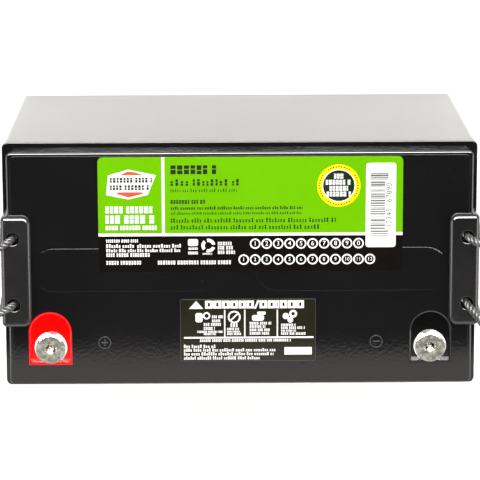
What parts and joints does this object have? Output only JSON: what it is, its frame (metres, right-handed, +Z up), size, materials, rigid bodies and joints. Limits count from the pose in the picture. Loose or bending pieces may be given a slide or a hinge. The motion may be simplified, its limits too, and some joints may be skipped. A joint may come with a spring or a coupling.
{
  "type": "deep cycle battery",
  "caption": "Sealed rectangular deep cycle battery with recessed threaded terminals, plates over the relief valves and a rope handle at each end.",
  "frame": {"origin": "centre of the base, on the surface that the battery stands on", "axes": "+Z up, +X along the length from the positive terminal's end to the negative one's, -Y the side the terminals are near"},
  "size_m": [0.3447, 0.1736, 0.227],
  "materials": {
    "case": "glossy moulded black",
    "cover": "glossy moulded black",
    "bracket": "semi-gloss moulded black",
    "well_red": "glossy red",
    "epoxy": "cured epoxy",
    "lead": "cast lead, dull",
    "terminal": "satin, turned",
    "rubber": "matt",
    "rope": "twisted polypropylene",
    "label": "printed film",
    "hazard": "printed film",
    "sticker": "printed paper-like film",
    "positive_paste": "dry brown paste on lead grid",
    "negative_paste": "grey paste on lead grid",
    "glass_mat": "soft glass-fibre mat"
  },
  "bodies": {
    "battery": {"case": "case", "cover": "cover", "cover_seal": "epoxy", "vent_plate_left": "cover", "vent_plate_right": "cover", "terminal_well_positive": "well_red", "terminal_well_negative": "cover", "terminal_post_positive": "lead", "terminal_post_negative": "lead", "terminal_insert_positive": "terminal", "terminal_insert_negative": "terminal", "terminal_seal_positive": "rubber", "terminal_seal_negative": "rubber", "handle_bracket_left": "bracket", "handle_bracket_right": "bracket", "rope_ends_left": "rope", "rope_ends_right": "rope", "main_label": "label", "hazard_label": "hazard", "barcode_sticker": "sticker", "intercell_welds": "lead", "positive_plates_1": "positive_paste", "negative_plates_1": "negative_paste", "separators_1": "glass_mat", "positive_strap_1": "lead", "negative_strap_1": "lead", "positive_plates_2": "positive_paste", "negative_plates_2": "negative_paste", "separators_2": "glass_mat", "positive_strap_2": "lead", "negative_strap_2": "lead", "positive_plates_3": "positive_paste", "negative_plates_3": "negative_paste", "separators_3": "glass_mat", "positive_strap_3": "lead", "negative_strap_3": "lead", "positive_plates_4": "positive_paste", "negative_plates_4": "negative_paste", "separators_4": "glass_mat", "positive_strap_4": "lead", "negative_strap_4": "lead", "positive_plates_5": "positive_paste", "negative_plates_5": "negative_paste", "separators_5": "glass_mat", "positive_strap_5": "lead", "negative_strap_5": "lead", "positive_plates_6": "positive_paste", "negative_plates_6": "negative_paste", "separators_6": "glass_mat", "positive_strap_6": "lead", "negative_strap_6": "lead"},
    "left_handle": {"rope_handle_left": "rope"},
    "right_handle": {"rope_handle_right": "rope"},
    "cap_1": {"valve_cap_1": "rubber"},
    "cap_2": {"valve_cap_2": "rubber"},
    "cap_3": {"valve_cap_3": "rubber"},
    "cap_4": {"valve_cap_4": "rubber"},
    "cap_5": {"valve_cap_5": "rubber"},
    "cap_6": {"valve_cap_6": "rubber"}
  },
  "joints": [
    {"name": "left_handle_swing", "type": "hinge", "parent": "battery", "child": "left_handle", "pos_m": [-0.1696, 0, 0.2242], "axis": [0, 1, 0], "range_deg": [0, 175]},
    {"name": "right_handle_swing", "type": "hinge", "parent": "battery", "child": "right_handle", "pos_m": [0.1696, 0, 0.2242], "axis": [0, -1, 0], "range_deg": [0, 175]},
    {"name": "valve_1_lift", "type": "slide", "parent": "battery", "child": "cap_1", "axis": [0, 0, 1], "range_m": [0, 0.0008], "stiffness_N_per_m": 100, "springref_m": -0.002},
    {"name": "valve_2_lift", "type": "slide", "parent": "battery", "child": "cap_2", "axis": [0, 0, 1], "range_m": [0, 0.0008], "stiffness_N_per_m": 100, "springref_m": -0.002},
    {"name": "valve_3_lift", "type": "slide", "parent": "battery", "child": "cap_3", "axis": [0, 0, 1], "range_m": [0, 0.0008], "stiffness_N_per_m": 100, "springref_m": -0.002},
    {"name": "valve_4_lift", "type": "slide", "parent": "battery", "child": "cap_4", "axis": [0, 0, 1], "range_m": [0, 0.0008], "stiffness_N_per_m": 100, "springref_m": -0.002},
    {"name": "valve_5_lift", "type": "slide", "parent": "battery", "child": "cap_5", "axis": [0, 0, 1], "range_m": [0, 0.0008], "stiffness_N_per_m": 100, "springref_m": -0.002},
    {"name": "valve_6_lift", "type": "slide", "parent": "battery", "child": "cap_6", "axis": [0, 0, 1], "range_m": [0, 0.0008], "stiffness_N_per_m": 100, "springref_m": -0.002}
  ]
}
